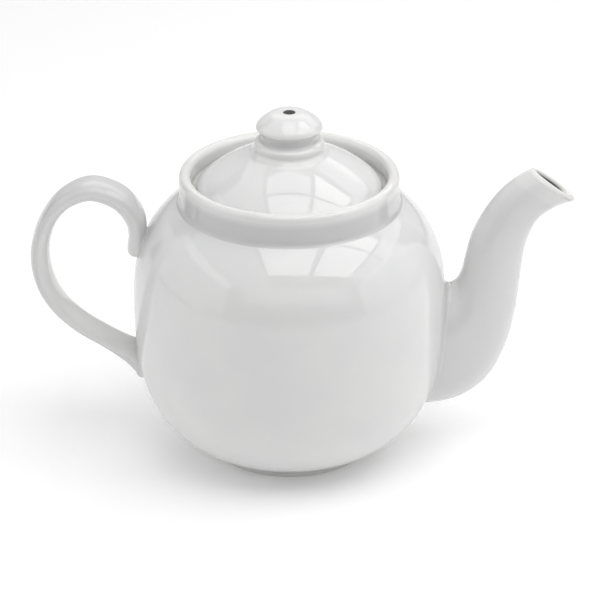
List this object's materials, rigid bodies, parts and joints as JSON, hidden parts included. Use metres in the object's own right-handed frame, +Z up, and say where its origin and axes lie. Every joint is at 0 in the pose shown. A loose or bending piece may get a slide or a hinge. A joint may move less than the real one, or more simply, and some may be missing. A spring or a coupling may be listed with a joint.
{
  "type": "teapot",
  "caption": "Round white porcelain teapot with an S-shaped spout, an ear handle and a domed lid that lifts straight out of a raised collar.",
  "frame": {"origin": "on the resting plane, under the middle of the overall length; the pot's own axis stands 5.8 mm towards the handle from it", "axes": "+X from the handle to the spout, +Z up along the pot's axis, +Y across to the far side"},
  "size_m": [0.2432, 0.14, 0.1629],
  "materials": {
    "belly": "glossy clear glaze on white porcelain",
    "foot_ring": "white porcelain, glazed on the side and wiped bare on the standing edge",
    "rim_collar": "glossy clear glaze on white porcelain",
    "spout": "glossy clear glaze on white porcelain",
    "spout_slip_joint": "glossy clear glaze on white porcelain",
    "handle": "glossy clear glaze on white porcelain",
    "handle_upper_slip_joint": "glossy clear glaze on white porcelain",
    "handle_lower_slip_joint": "glossy clear glaze on white porcelain",
    "lid_dome": "glossy clear glaze on white porcelain",
    "lid_skirt": "glossy clear glaze on white porcelain",
    "knob": "glossy clear glaze on white porcelain",
    "knob_slip_joint": "glossy clear glaze on white porcelain"
  },
  "bodies": {
    "pot": {"belly": "belly", "foot_ring": "foot_ring", "rim_collar": "rim_collar", "spout": "spout", "spout_slip_joint": "spout_slip_joint", "handle": "handle", "handle_upper_slip_joint": "handle_upper_slip_joint", "handle_lower_slip_joint": "handle_lower_slip_joint"},
    "lid": {"lid_dome": "lid_dome", "lid_skirt": "lid_skirt", "knob": "knob", "knob_slip_joint": "knob_slip_joint"}
  },
  "joints": [
    {"name": "lid_lift", "type": "slide", "parent": "pot", "child": "lid", "axis": [0, 0, 1], "range_m": [0, 0.08]}
  ]
}
